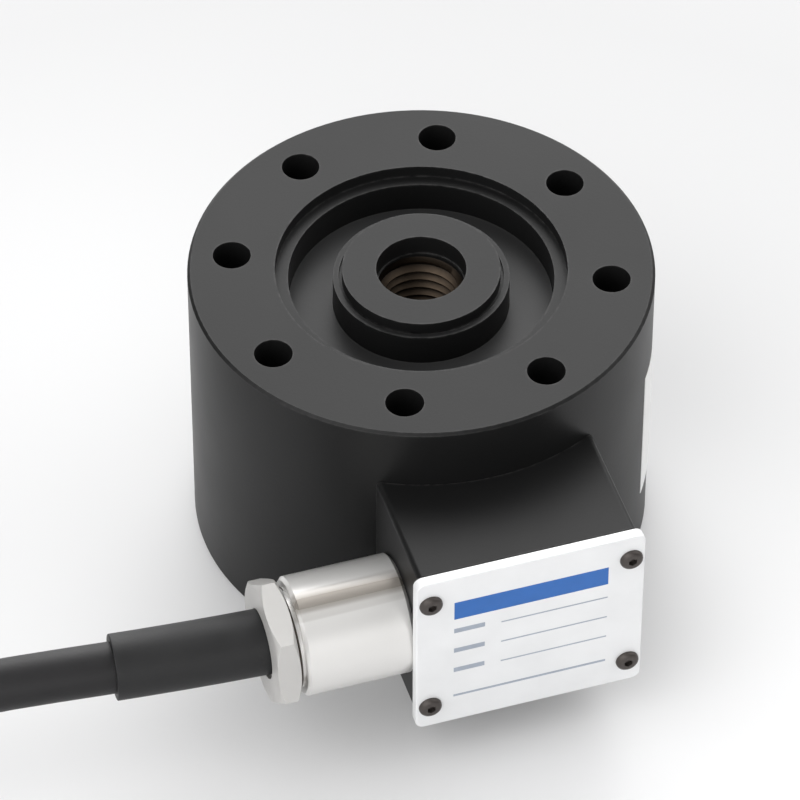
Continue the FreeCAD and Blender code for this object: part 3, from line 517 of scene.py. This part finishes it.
def skin(rings, closed=False):
    """Points and faces that join rings of points in turn: a loop if closed, else with a cap on either end."""
    count, total = len(rings[0]), len(rings)
    faces = []
    for ring in range(total if closed else total - 1):
        low, high = ring * count, (ring + 1) % total * count
        for index in range(count):
            following = (index + 1) % count
            faces.append((low + index, low + following, high + following, high + index))
    if not closed:
        faces.append(tuple(range(count)))
        faces.append(tuple((total - 1) * count + index for index in range(count)))
    return [point for ring in rings for point in ring], faces


def merge(skins):
    """Several skins as one list of points and one of faces."""
    points, faces = [], []
    for more_points, more_faces in skins:
        first = len(points)
        points += more_points
        faces += [tuple(first + corner for corner in face) for face in more_faces]
    return points, faces


def full_turn(count):
    """Angles evenly spaced round a full turn."""
    return [math.tau * index / count for index in range(count)]


def ring_round(spot, heading, radius, count):
    """Points of a circle about a line that goes through a spot."""
    side = heading.cross(Vector((0, 0, 1))).normalized()
    up = side.cross(heading)
    return [spot + (side * math.cos(turn) + up * math.sin(turn)) * radius for turn in full_turn(count)]


def rounded_outline(half_width, half_height, radius, steps=8):
    """Points of a rounded rectangle about its middle, as pairs."""
    points = []
    for corner, (side, up) in enumerate(((1, 1), (-1, 1), (-1, -1), (1, -1))):
        for step in range(steps + 1):
            angle = math.radians(90 * (corner + step / steps))
            points.append((side * (half_width - radius) + radius * math.cos(angle),
                           up * (half_height - radius) + radius * math.sin(angle)))
    return points


def thread_ridge(root, crest, pitch, start, end, place_on, steps=72):
    """Skin of a helical ridge about the Z axis of a matrix, which runs out to nearly nothing at its ends."""
    count = int((end - start) / pitch * steps)
    # Half widths of the ridge in pitches, length of each run-out in steps, and the least share of the height.
    foot, land = 0.49, 0.05
    run_out, least = 0.6 * steps, 0.03
    section = ((-foot, root), (-land, crest), (land, crest), (foot, root))
    rings = []
    for index in range(count + 1):
        angle = math.tau * index / steps
        share = max(least, min(1.0, index / run_out, (count - index) / run_out))
        ring = []
        for along, radius in section:
            far = root + (radius - root) * share
            height = start + pitch * (index / steps + along)
            ring.append(place_on @ Vector((far * math.cos(angle), far * math.sin(angle), height)))
        rings.append(ring)
    return skin(rings)


class LOADCELL_OT_paint_body(bpy.types.Operator):
    """Paint the ring, its covers and the box, and round the edges of the ring and the box"""

    bl_idname = "loadcell.paint_body"
    bl_label = "Paint body"

    def execute(self, context):
        finish = context.scene.loadcell_finish
        paint = painted_finish("Satin black paint", finish.paint, finish.paint_rub_and_highlight)
        coat_nodes(paint, "elastic_body", "junction_box", "base_cover")
        # The seal ring gets a paler copy of the paint, painted light for the recess floor.
        coat_nodes(painted_finish("Seal paint", finish.seal, finish.paint_rub_and_highlight), "upper_seal_ring")
        for name in ("elastic_body", "junction_box"):
            soften(name, context.scene.loadcell_sizes.edge_round)
        return {"FINISHED"}


class LOADCELL_OT_cut_threads(bpy.types.Operator):
    """Add the ridges of the centre thread and of the thread on the gland's neck"""

    bl_idname = "loadcell.cut_threads"
    bl_label = "Cut threads"

    def execute(self, context):
        sizes = context.scene.loadcell_sizes
        colour = context.scene.loadcell_finish.bare_thread
        crest, middle = sizes.thread_crest, Vector((0.0, 0.0, 0.0))
        bare = thread_finish("Oiled thread", colour, THREAD_ROOT, crest, middle, across=(1.0, 1.0, 0.0))
        ridge = thread_ridge(
            THREAD_ROOT, crest, sizes.thread_pitch, THREAD_LOW, THREAD_HIGH, Matrix.Identity(4)
        )
        mesh_piece("centre_thread", ridge, bare, smooth_angle=40.0)
        low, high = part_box("gland_nut")
        middle = Vector((0.0, (low.y + high.y) / 2, (low.z + high.z) / 2))
        outward = Matrix.Translation(middle) @ Matrix.Rotation(math.radians(-90), 4, "Y")
        steel = thread_finish("Neck thread", colour, NECK_ROOT, NECK_CREST, middle, across=(0.0, 1.0, 1.0))
        ridge = thread_ridge(
            NECK_ROOT, NECK_CREST, sizes.neck_pitch, -high.x - NECK_REACH, -high.x + NECK_REACH, outward
        )
        mesh_piece("neck_thread", ridge, steel, smooth_angle=40.0)
        return {"FINISHED"}


class LOADCELL_OT_dress_plate(bpy.types.Operator):
    """Make the cover plate with eased edges, its plain print and its button heads"""

    bl_idname = "loadcell.dress_plate"
    bl_label = "Dress plate"

    def execute(self, context):
        finish = context.scene.loadcell_finish
        low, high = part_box("cover_plate")
        satin = metal_finish(
            "Satin plate", finish.plate, rough=0.4, axis="Z", lines=1800.0, strength=0.03, metallic=0.12
        )
        plate = mesh_piece("plate_face", self.plate_skin(low, high), satin, smooth_angle=50.0)
        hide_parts("cover_plate")
        oxide = metal_finish("Dark oxide", finish.screw, rough=0.42, axis="Y", lines=1500.0, metallic=0.6)
        heads = mesh_piece("cover_heads", self.head_skins(low.y), oxide, smooth_angle=35.0)
        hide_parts("cover_screws")
        middle = (low + high) / 2
        for name, (colour, fields) in self.print_fields(finish).items():
            ink = plastic_finish(f"Ink of {name}", colour, rough=0.45)
            bars = [self.bar_skin(middle, low.y, *field) for field in fields]
            mesh_piece(name, merge(bars), ink)
        return {"FINISHED"}

    def plate_skin(self, low, high, steps=4):
        """A plate with round corners and an eased front edge."""
        middle, half = (low + high) / 2, (high - low) / 2
        levels = [(high.y, 0.0), (low.y + PLATE_EASE, 0.0)]
        for step in range(1, steps + 1):
            turn = math.radians(90 * step / steps)
            levels.append((low.y + PLATE_EASE * (1 - math.sin(turn)), PLATE_EASE * (1 - math.cos(turn))))
        rings = []
        for y, inset in levels:
            edge = rounded_outline(half.x - inset, half.z - inset, PLATE_CORNER - inset)
            rings.append([(middle.x + x, y, middle.z + z) for x, z in edge])
        return skin(rings)

    def head_skins(self, face, around=48, steps=5):
        """Four low button heads with a hexagon socket each."""
        low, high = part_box("cover_screws")
        rise = face - low.y
        rim, socket_floor = 0.22 * rise, 0.15 * rise
        profile = [(HEAD_RADIUS, -HEAD_SUNK), (HEAD_RADIUS, rim)]
        for step in range(1, steps + 1):
            turn = math.radians(90 * step / steps)
            profile.append((HEAD_CROWN + (HEAD_RADIUS - HEAD_CROWN) * math.cos(turn),
                            rim + (rise - rim) * math.sin(turn)))
        turns = full_turn(around)
        sixth = math.pi / 3
        socket = [SOCKET_HALF / math.cos((turn + sixth / 2) % sixth - sixth / 2) for turn in turns]
        levels = [([radius] * around, height) for radius, height in profile]
        levels += [(socket, rise), (socket, socket_floor)]
        heads = []
        for x in (low.x + HEAD_RADIUS, high.x - HEAD_RADIUS):
            for z in (low.z + HEAD_RADIUS, high.z - HEAD_RADIUS):
                heads.append(skin([
                    [(x + far * math.cos(turn), face - height, z + far * math.sin(turn))
                     for turn, far in zip(turns, radii)]
                    for radii, height in levels
                ]))
        return merge(heads)

    def print_fields(self, finish):
        """A plain band and blank ruled lines: left, right, bottom and top of each, in millimetres."""
        left, right = -14.4, 14.6
        mark_end, rule_start = -8.6, -5.5
        rows, rule_height, mark_height = (4.6, -0.6, -5.8), 0.28, 1.1
        band = (left, right, 8.2, 12.6)
        rules = [(rule_start, right, row, row + rule_height) for row in rows]
        marks = [(left, mark_end, row, row + mark_height) for row in rows]
        foot = (left, right, -12.4, -11.9)
        return {
            "plate_band": (finish.band, [band]),
            "plate_rules": (finish.rule, [*rules, *marks, foot]),
        }

    def bar_skin(self, middle, face, left, right, bottom, top):
        """A printed bar a little proud of the plate."""
        corners = ((left, bottom), (right, bottom), (right, top), (left, top))
        levels = (face + INK_SUNK, face - INK_PROUD)
        return skin([[(middle.x + x * MM, y, middle.z + z * MM) for x, z in corners] for y in levels])


class LOADCELL_OT_dress_gland(bpy.types.Operator):
    """Finish the gland, its nut and its seals"""

    bl_idname = "loadcell.dress_gland"
    bl_label = "Dress gland"

    def execute(self, context):
        finish = context.scene.loadcell_finish
        drawn = drawn_finish("Drawn steel", finish.steel, finish.steel_streak_and_reflection)
        matte = metal_finish(
            "Matte nut", finish.nut, rough=0.42, axis="X", lines=1500.0, strength=0.08, metallic=0.25
        )
        rubber = rubber_finish("Seal rubber", finish.sleeve, rough=0.6)
        coat_nodes(drawn, "gland_body", "gland_washer")
        coat_nodes(matte, "gland_nut")
        coat_nodes(rubber, "gland_seal", "gland_grommet", "cover_gasket")
        soften("gland_nut", context.scene.loadcell_sizes.nut_round)
        return {"FINISHED"}


def smooth_step(share):
    """A share of a way, with a soft start and end, that stays between 0 and 1."""
    share = max(0.0, min(1.0, share))
    return share * share * (3 - 2 * share)


def coil_frame(sizes):
    """Middle of the coil's first layer, radius of its outer turn and angle at which the cable comes in."""
    last, end = (Vector(point) * MM for point in CABLE_ROUTE[-2:])
    heading = (end - last).normalized()
    outward = Vector((-heading.y, heading.x, 0.0))
    outer = sizes.coil_mean_dia / 2 + sizes.cable_dia
    return end - outward * outer, outer, math.atan2(outward.y, outward.x)


def round_coil(centre, degrees, radius, height):
    """A point at an angle, radius and height of the coil."""
    angle = math.radians(degrees)
    return Vector((centre.x + radius * math.cos(angle), centre.y + radius * math.sin(angle), height))


def coil_points(sizes, per_turn=24):
    """Control points of the put-away turns, which step inward on the floor and outward again on top."""
    centre, outer, entry = coil_frame(sizes)
    pitch = sizes.cable_dia
    # The smooth curve passes inside its control points, so they stand that much further out.
    grow = 1 / math.cos(math.pi / per_turn)
    points = []
    for index in range(int(sizes.coil_turns * per_turn)):
        turn = (index + 0.5) / per_turn
        inward = sum(smooth_step((turn - start) / STEP_SPAN) for start in STEPS_INWARD)
        back = sum(smooth_step((turn - start) / STEP_SPAN) for start in STEPS_OUTWARD)
        lift = pitch * smooth_step((turn - CLIMB) / CLIMB_SPAN)
        radius = (outer + pitch * (back - inward)) * grow
        angle = entry - math.tau * turn
        points.append(centre + Vector((radius * math.cos(angle), radius * math.sin(angle), lift)))
    return points


def round_curve(name, points, diameter, material):
    """A smooth round curve with these control points."""
    curve = bpy.data.curves.new(name, "CURVE")
    curve.dimensions = "3D"
    curve.bevel_depth = diameter / 2
    curve.bevel_resolution = 10
    curve.resolution_u = 8
    curve.use_fill_caps = True
    spline = curve.splines.new("NURBS")
    spline.points.add(len(points) - 1)
    for point, corner in zip(spline.points, points):
        point.co = (*corner, 1.0)
    spline.order_u = 3
    spline.use_endpoint_u = True
    piece = bpy.data.objects.new(name, curve)
    bpy.context.scene.collection.objects.link(piece)
    curve.materials.append(material)
    return piece


def centre_line(curve_piece):
    """Points along the line of a curve, read from Blender."""
    plain = curve_piece.copy()
    plain.data = curve_piece.data.copy()
    plain.data.bevel_depth = 0.0
    bpy.context.scene.collection.objects.link(plain)
    bpy.context.view_layer.update()
    mesh = bpy.data.meshes.new_from_object(plain.evaluated_get(bpy.context.evaluated_depsgraph_get()))
    line = [vertex.co.copy() for vertex in mesh.vertices]
    bpy.data.objects.remove(plain)
    bpy.data.meshes.remove(mesh)
    return line


def along_line(line, distances):
    """Points and headings at distances along a line."""
    found, travelled, index = [], 0.0, 0
    for distance in distances:
        while travelled + (line[index + 1] - line[index]).length < distance:
            travelled += (line[index + 1] - line[index]).length
            index += 1
        heading = (line[index + 1] - line[index]).normalized()
        found.append((line[index] + heading * (distance - travelled), heading))
    return found


class LOADCELL_OT_lay_cable(bpy.types.Operator):
    """Lay the cable, its sleeve, its coil and its bare end"""

    bl_idname = "loadcell.lay_cable"
    bl_label = "Lay cable"

    def execute(self, context):
        sizes = context.scene.loadcell_sizes
        finish = context.scene.loadcell_finish
        jacket = rubber_finish("Cable jacket", finish.jacket, rough=0.5)
        route = [Vector(point) * MM for point in CABLE_ROUTE]
        cable = round_curve("cable_run", route + coil_points(sizes), sizes.cable_dia, jacket)
        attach(cable, "root")
        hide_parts("cable", "cable_coil")
        sleeve_rubber = rubber_finish("Sleeve rubber", finish.sleeve, rough=0.52)
        sleeve = self.make_sleeve(cable, sizes, sleeve_rubber)
        straps = self.make_straps(sizes, rubber_finish("Tie plastic", finish.strap, rough=0.45))
        along = [sleeve, straps, NODES["end_sleeve"], *self.make_leads(sizes, finish)]
        coat_nodes(jacket, "cable_entry")
        self.dress_end_sleeve(sleeve_rubber)
        return {"FINISHED"}

    def dress_end_sleeve(self, material):
        """Swell the sleeve at the cable's bare end, so that it closes on the jacket."""
        coat_nodes(material, "end_sleeve")
        weld(NODES["end_sleeve"])
        swell = NODES["end_sleeve"].modifiers.new("Swell", "DISPLACE")
        swell.mid_level = 0.0
        swell.strength = END_SWELL

    def make_straps(self, sizes, material):
        """Straps that hug the round turns of the coil."""
        centre, outer = coil_frame(sizes)[:2]
        cable, wide, thick = sizes.cable_dia, sizes.strap_width, sizes.strap_thick
        rim = outer + cable / 2
        # The hole ends two turns and half a cable inside the outer turn. A flat strap meets it at its edges.
        hole = math.sqrt((outer - 2.5 * cable) ** 2 - wide * wide / 4)
        inner = rounded_outline((rim - hole) / 2, cable, cable / 2)
        across = rounded_outline((rim - hole) / 2 + thick, cable + thick, cable / 2 + thick)
        straps = []
        for degrees in STRAP_ANGLES:
            middle = round_coil(centre, degrees, (rim + hole) / 2, centre.z + cable / 2)
            out = round_coil(Vector((0, 0, 0)), degrees, 1.0, 0.0)
            side = Vector((-out.y, out.x, 0.0)) * wide / 2
            rings = []
            for (near, low), (far, high) in zip(inner, across):
                close, outside = middle + out * near, middle + out * far
                close.z, outside.z = middle.z + low, middle.z + high
                rings.append([close - side, outside - side, outside + side, close + side])
            straps.append(skin(rings, closed=True))
        piece = mesh_piece("coil_straps", merge(straps), material, smooth_angle=35.0)
        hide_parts("coil_ties")
        return piece

    def make_leads(self, sizes, finish):
        """Four leads that fan out of the end sleeve, two on two, with bare tips."""
        centre, outer = coil_frame(sizes)[:2]
        lead, gap, fan_step = sizes.lead_dia, 0.05 * MM, 2.2 * MM
        sleeve_height = centre.z + sizes.cable_dia
        rest = centre.z + (sizes.cable_dia + lead) / 2 + gap
        pieces, tips = [], []
        for index, name in enumerate(LEAD_COLOURS):
            wire = plastic_finish(f"Wire {name}", getattr(finish, f"lead_{name}"), rough=0.4)
            coat_nodes(wire, f"core_{name}")
            side, layer = index % 2 - 0.5, index // 2
            fan = (index - 1.5) * fan_step
            rise = sleeve_height + (layer - 0.5) * lead
            lies = rest + layer * (lead + gap)
            # Degrees round the coil past the sleeve's mouth, place across the turn and height.
            stations = (
                (-1.0, lead * side, rise),
                (4.0, lead * side, rise),
                (12.0, 1.2 * lead * side, lies),
                (24.0, 0.5 * fan, lies),
                (36.0, 0.8 * fan, lies),
                (43.0 + side, fan, lies),
            )
            points = [round_coil(centre, LEAD_START - past, outer + off, up) for past, off, up in stations]
            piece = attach(round_curve(f"wire_{name}", points, lead, wire), "root")
            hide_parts(f"lead_{name}")
            pieces.append(piece)
            tips.append(self.tip_skin(points[-1], (points[-1] - points[-2]).normalized()))
        copper = metal_finish("Tinned copper", finish.copper, rough=0.3, axis="X")
        pieces.append(mesh_piece("wire_tips", merge(tips), copper, smooth_angle=45.0))
        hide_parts("lead_tips")
        return pieces

    def tip_skin(self, spot, heading):
        """A bare tip with an eased end."""
        radius, length = 0.55 * MM, 7.0 * MM
        profile = ((-0.2 * length, radius), (0.95 * length, radius), (length, 0.6 * radius))
        return skin([ring_round(spot + heading * far, heading, wide, count=16) for far, wide in profile])

    def make_sleeve(self, cable, sizes, material, spans=40, steps=6):
        """A rubber sleeve with a rounded lip, round the first bend of the cable."""
        radius, length = sizes.sleeve_dia / 2, sizes.sleeve_length
        lip, bite = 0.25 * MM, 0.05 * MM
        starts = [span * length / spans for span in range(spans)]
        profile = [(far, radius) for far in starts if far < length - lip]
        for step in range(steps + 1):
            turn = math.radians(90 * step / steps)
            profile.append((length - lip + lip * math.sin(turn), radius - lip + lip * math.cos(turn)))
        profile.append((length, sizes.cable_dia / 2 - bite))
        distances, widths = zip(*profile)
        stations = along_line(centre_line(cable), distances)
        rings = [ring_round(*station, wide, count=48) for station, wide in zip(stations, widths)]
        sleeve = mesh_piece("sleeve_rubber", skin(rings), material, smooth_angle=45.0)
        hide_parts("cable_sleeve")
        return sleeve


class LOADCELL_OT_stick_label(bpy.types.Operator):
    """Stick the blank label on the side of the ring"""

    bl_idname = "loadcell.stick_label"
    bl_label = "Stick label"

    def execute(self, context):
        paper = plastic_finish("Blank label", context.scene.loadcell_finish.label, rough=0.4, uneven=0.02)
        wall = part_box("elastic_body")[1].x
        inside, outside = wall - LABEL_SUNK, wall + LABEL_PROUD
        low, high = LABEL_LOW, LABEL_LOW + context.scene.loadcell_sizes.label_height
        section = ((inside, low), (inside, high), (outside, high), (outside, low))
        columns = 40
        rings = []
        for column in range(columns + 1):
            angle = LABEL_START + LABEL_SPAN * column / columns
            rings.append([(radius * math.cos(angle), radius * math.sin(angle), z) for radius, z in section])
        mesh_piece("side_label", skin(rings), paper)
        return {"FINISHED"}


class LOADCELL_OT_finish_inside(bpy.types.Operator):
    """Finish the gauges, the board and the screws inside"""

    bl_idname = "loadcell.finish_inside"
    bl_label = "Finish inside"

    def execute(self, context):
        finish = context.scene.loadcell_finish
        coat_nodes(plastic_finish("Gauge film", finish.gauge, rough=0.35), "strain_gauges")
        coat_nodes(plastic_finish("Loom jacket", finish.loom), "bridge_wires")
        coat_nodes(plastic_finish("Board lacquer", finish.board, rough=0.3), "terminal_board")
        coat_nodes(plastic_finish("Block plastic", finish.block), "terminal_block")
        coat_nodes(plastic_finish("Resistor body", finish.resistor), "trim_resistors")
        coat_nodes(metal_finish("Spacer brass", finish.brass, rough=0.3, axis="Y"), "board_spacers")
        screws = metal_finish("Screw steel", finish.steel, rough=0.3, axis="Y")
        coat_nodes(screws, "box_screws", "board_screws")
        return {"FINISHED"}


def direction(azimuth, elevation):
    """The way out from the part at an azimuth from the front and an elevation, in radians."""
    flat = math.cos(elevation)
    return Vector((flat * math.sin(azimuth), -flat * math.cos(azimuth), math.sin(elevation)))


class LOADCELL_OT_set_stage(bpy.types.Operator):
    """Set up the floor, the light and the camera"""

    bl_idname = "loadcell.set_stage"
    bl_label = "Set stage"

    def execute(self, context):
        stage = context.scene.loadcell_stage
        self.lay_floor(context.scene, stage)
        self.light_up(context.scene)
        self.aim_camera(context.scene, stage)
        context.scene.view_settings.view_transform = "Standard"
        return {"FINISHED"}

    def lay_floor(self, scene, stage):
        """A wide plain floor, a little paler round the part as a painted pool of light on its shadow, with a
        small lift where it is seen.
        """
        sides = ((-1, -1), (1, -1), (1, 1), (-1, 1))
        corners = [(along * FLOOR_REACH, across * FLOOR_REACH, 0.0) for along, across in sides]
        mesh = bpy.data.meshes.new("floor")
        mesh.from_pydata(corners, [], [(0, 1, 2, 3)])
        floor = bpy.data.objects.new("floor", mesh)
        scene.collection.objects.link(floor)
        material, tree, shader = new_finish(
            "Pale floor", Roughness=0.6, Specular_IOR_Level=0.2, Emission_Color=(1.0, 1.0, 1.0, 1.0)
        )
        rays = place(tree, "ShaderNodeLightPath").outputs
        seen = math_node(tree, "MAXIMUM", rays["Is Camera Ray"], rays["Is Glossy Ray"])
        seen = math_node(tree, "MAXIMUM", seen, rays["Is Transmission Ray"])
        tree.links.new(math_node(tree, "MULTIPLY", seen, FLOOR_LIFT), shader["Emission Strength"])
        # Paler near the part: a painted pool of light over the part's own shadow.
        away = vector_node(tree, "DISTANCE", object_spot(tree), FLOOR_POOL_MIDDLE)["Value"]
        far = window(tree, away, low=FLOOR_POOL_INNER, high=FLOOR_POOL_OUTER)
        tree.links.new(blend_colours(tree, far, stage.floor, stage.floor_far), shader["Base Color"])
        mesh.materials.append(material)
        floor.location.z = -FLOOR_DROP

    def light_up(self, scene):
        """A room with broad soft lights on its walls."""
        world = bpy.data.worlds.new("Soft room")
        scene.world = world
        world.use_nodes = True
        tree = world.node_tree
        heading = place(tree, "ShaderNodeTexCoord").outputs["Generated"]
        total = 0.0
        for azimuth, elevation, reach, level in ROOM_LIGHTS:
            way = direction(math.radians(azimuth), math.radians(elevation))
            toward = vector_node(tree, "DOT_PRODUCT", heading, way)["Value"]
            limits = {"Value": toward, "From Min": math.cos(math.radians(reach)), "To Max": level}
            soft = place(tree, "ShaderNodeMapRange", limits, interpolation_type="SMOOTHSTEP")
            total = math_node(tree, "ADD", soft.outputs["Result"], total)
        background = tree.nodes["Background"].inputs
        background["Color"].default_value = (1.0, 1.0, 1.0, 1.0)
        tree.links.new(total, background["Strength"])

    def aim_camera(self, scene, stage):
        """The camera at the view of the picture."""
        back = direction(stage.azimuth, stage.elevation)
        camera = bpy.data.objects.new("camera", bpy.data.cameras.new("camera"))
        scene.collection.objects.link(camera)
        camera.data.sensor_width = 36.0
        camera.data.lens = stage.lens
        camera.data.clip_start = 0.05
        camera.location = CAMERA_TARGET + back * stage.distance
        camera.rotation_mode = "QUATERNION"
        camera.rotation_quaternion = (-back).to_track_quat("-Z", "Y") @ Quaternion((0, 0, 1), stage.roll)
        scene.camera = camera


OPERATORS = (
    LOADCELL_OT_set_stage,
    LOADCELL_OT_paint_body,
    LOADCELL_OT_cut_threads,
    LOADCELL_OT_dress_plate,
    LOADCELL_OT_dress_gland,
    LOADCELL_OT_lay_cable,
    LOADCELL_OT_stick_label,
    LOADCELL_OT_finish_inside,
)

SETTINGS = {
    "loadcell_finish": LoadCellFinish,
    "loadcell_sizes": LoadCellSizes,
    "loadcell_stage": LoadCellStage,
}


class LOADCELL_PT_panel(bpy.types.Panel):
    """Steps and settings of the load cell"""

    bl_label = "Load cell"
    bl_idname = "LOADCELL_PT_panel"
    bl_space_type = "VIEW_3D"
    bl_region_type = "UI"
    bl_category = "Load cell"

    def draw(self, context):
        """List the steps, then the settings."""
        for operator in OPERATORS:
            self.layout.operator(operator.bl_idname)
        for name in SETTINGS:
            group = getattr(context.scene, name)
            for setting in group.__annotations__:
                self.layout.prop(group, setting)


CLASSES = (*SETTINGS.values(), *OPERATORS, LOADCELL_PT_panel)


def register():
    """Register the classes, and hang the settings on the scene."""
    for item in CLASSES:
        bpy.utils.register_class(item)
    for name, group in SETTINGS.items():
        setattr(bpy.types.Scene, name, PointerProperty(type=group))


def unregister():
    """Take the settings off the scene, and unregister the classes."""
    for name in SETTINGS:
        delattr(bpy.types.Scene, name)
    for item in reversed(CLASSES):
        bpy.utils.unregister_class(item)


def main():
    """Register the add-on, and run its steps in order."""
    register()
    bpy.ops.loadcell.set_stage()
    bpy.ops.loadcell.paint_body()
    bpy.ops.loadcell.cut_threads()
    bpy.ops.loadcell.dress_plate()
    bpy.ops.loadcell.dress_gland()
    bpy.ops.loadcell.lay_cable()
    bpy.ops.loadcell.stick_label()
    bpy.ops.loadcell.finish_inside()


if __name__ == "__main__":
    main()
